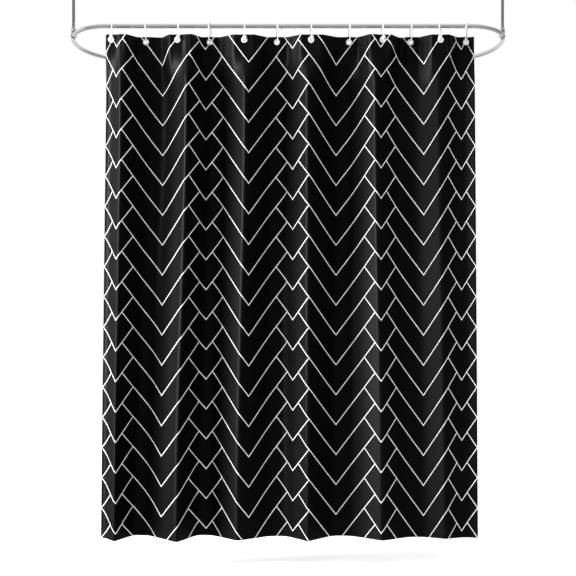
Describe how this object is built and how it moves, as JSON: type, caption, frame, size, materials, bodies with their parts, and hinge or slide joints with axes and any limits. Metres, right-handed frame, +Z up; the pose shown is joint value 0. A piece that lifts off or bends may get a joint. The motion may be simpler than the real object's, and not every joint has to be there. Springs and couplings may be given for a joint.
{
  "type": "shower curtain on hoop rail",
  "caption": "Printed fabric shower curtain on sliding snap hooks, hung from an oval hoop rail with two ceiling rods.",
  "frame": {"origin": "on the ceiling, midway between the two ceiling flanges", "axes": "+Z up, +X along the hoop to the right as seen from outside the tub, +Y into the hoop, away from the person outside"},
  "size_m": [1.6686, 0.7582, 2.153],
  "materials": {
    "chrome": "polished chrome plate",
    "steel_hardware": "plain stainless screws and ferrules",
    "printed_cloth": "black satin polyester with thin white herringbone lines",
    "header_tape": "black woven reinforcing tape",
    "white_hook": "glossy white moulded plastic",
    "white_eyelet": "white moulded plastic"
  },
  "bodies": {
    "rail": {"hoop_tube_left": "chrome", "hoop_tube_right": "chrome", "hoop_ferrule_front": "steel_hardware", "hoop_ferrule_back": "steel_hardware", "hoop_screw_front_left": "steel_hardware", "hoop_screw_front_right": "steel_hardware", "hoop_screw_back_left": "steel_hardware", "hoop_screw_back_right": "steel_hardware", "saddle_left": "chrome", "rod_set_screw_left": "steel_hardware", "hoop_set_screw_left": "steel_hardware", "support_rod_left": "chrome", "ceiling_flange_left": "chrome", "flange_set_screw_left": "steel_hardware", "ceiling_screw_left_1": "steel_hardware", "ceiling_screw_left_2": "steel_hardware", "ceiling_screw_left_3": "steel_hardware", "saddle_right": "chrome", "rod_set_screw_right": "steel_hardware", "hoop_set_screw_right": "steel_hardware", "support_rod_right": "chrome", "ceiling_flange_right": "chrome", "flange_set_screw_right": "steel_hardware", "ceiling_screw_right_1": "steel_hardware", "ceiling_screw_right_2": "steel_hardware", "ceiling_screw_right_3": "steel_hardware"},
    "curtain": {"curtain_sheet": "printed_cloth", "header_band": "header_tape", "hook_01": "white_hook", "eyelet_01": "white_eyelet"},
    "hanger_02": {"hook_02": "white_hook", "eyelet_02": "white_eyelet"},
    "hanger_03": {"hook_03": "white_hook", "eyelet_03": "white_eyelet"},
    "hanger_04": {"hook_04": "white_hook", "eyelet_04": "white_eyelet"},
    "hanger_05": {"hook_05": "white_hook", "eyelet_05": "white_eyelet"},
    "hanger_06": {"hook_06": "white_hook", "eyelet_06": "white_eyelet"},
    "hanger_07": {"hook_07": "white_hook", "eyelet_07": "white_eyelet"},
    "hanger_08": {"hook_08": "white_hook", "eyelet_08": "white_eyelet"},
    "hanger_09": {"hook_09": "white_hook", "eyelet_09": "white_eyelet"},
    "hanger_10": {"hook_10": "white_hook", "eyelet_10": "white_eyelet"},
    "hanger_11": {"hook_11": "white_hook", "eyelet_11": "white_eyelet"},
    "hanger_12": {"hook_12": "white_hook", "eyelet_12": "white_eyelet"}
  },
  "joints": [
    {"name": "curtain_swing", "type": "hinge", "parent": "rail", "child": "curtain", "pos_m": [0, -0.19, -0.3], "axis": [1, 0, 0], "range_deg": [-12, 12]},
    {"name": "curtain_draw", "type": "slide", "parent": "curtain", "child": "hanger_12", "axis": [-1, 0, 0], "range_m": [0, 0.8988], "deforming": ["curtain_sheet", "header_band"]},
    {"name": "hanger_02_slide", "type": "slide", "parent": "curtain", "child": "hanger_02", "axis": [-1, 0, 0], "range_m": [0, 0.085]},
    {"name": "hanger_03_slide", "type": "slide", "parent": "curtain", "child": "hanger_03", "axis": [-1, 0, 0], "range_m": [0, 0.1677]},
    {"name": "hanger_04_slide", "type": "slide", "parent": "curtain", "child": "hanger_04", "axis": [-1, 0, 0], "range_m": [0, 0.2477]},
    {"name": "hanger_05_slide", "type": "slide", "parent": "curtain", "child": "hanger_05", "axis": [-1, 0, 0], "range_m": [0, 0.3358]},
    {"name": "hanger_06_slide", "type": "slide", "parent": "curtain", "child": "hanger_06", "axis": [-1, 0, 0], "range_m": [0, 0.4184]},
    {"name": "hanger_07_slide", "type": "slide", "parent": "curtain", "child": "hanger_07", "axis": [-1, 0, 0], "range_m": [0, 0.5047]},
    {"name": "hanger_08_slide", "type": "slide", "parent": "curtain", "child": "hanger_08", "axis": [-1, 0, 0], "range_m": [0, 0.6018]},
    {"name": "hanger_09_slide", "type": "slide", "parent": "curtain", "child": "hanger_09", "axis": [-1, 0, 0], "range_m": [0, 0.6854]},
    {"name": "hanger_10_slide", "type": "slide", "parent": "curtain", "child": "hanger_10", "axis": [-1, 0, 0], "range_m": [0, 0.7582]},
    {"name": "hanger_11_slide", "type": "slide", "parent": "curtain", "child": "hanger_11", "axis": [-1, 0, 0], "range_m": [0, 0.831]}
  ],
  "couplings": [
    {"joint": "hanger_02_slide", "follows": "curtain_draw", "ratio": 0.094},
    {"joint": "hanger_03_slide", "follows": "curtain_draw", "ratio": 0.186},
    {"joint": "hanger_04_slide", "follows": "curtain_draw", "ratio": 0.275},
    {"joint": "hanger_05_slide", "follows": "curtain_draw", "ratio": 0.373},
    {"joint": "hanger_06_slide", "follows": "curtain_draw", "ratio": 0.465},
    {"joint": "hanger_07_slide", "follows": "curtain_draw", "ratio": 0.561},
    {"joint": "hanger_08_slide", "follows": "curtain_draw", "ratio": 0.669},
    {"joint": "hanger_09_slide", "follows": "curtain_draw", "ratio": 0.762},
    {"joint": "hanger_10_slide", "follows": "curtain_draw", "ratio": 0.843},
    {"joint": "hanger_11_slide", "follows": "curtain_draw", "ratio": 0.924}
  ]
}
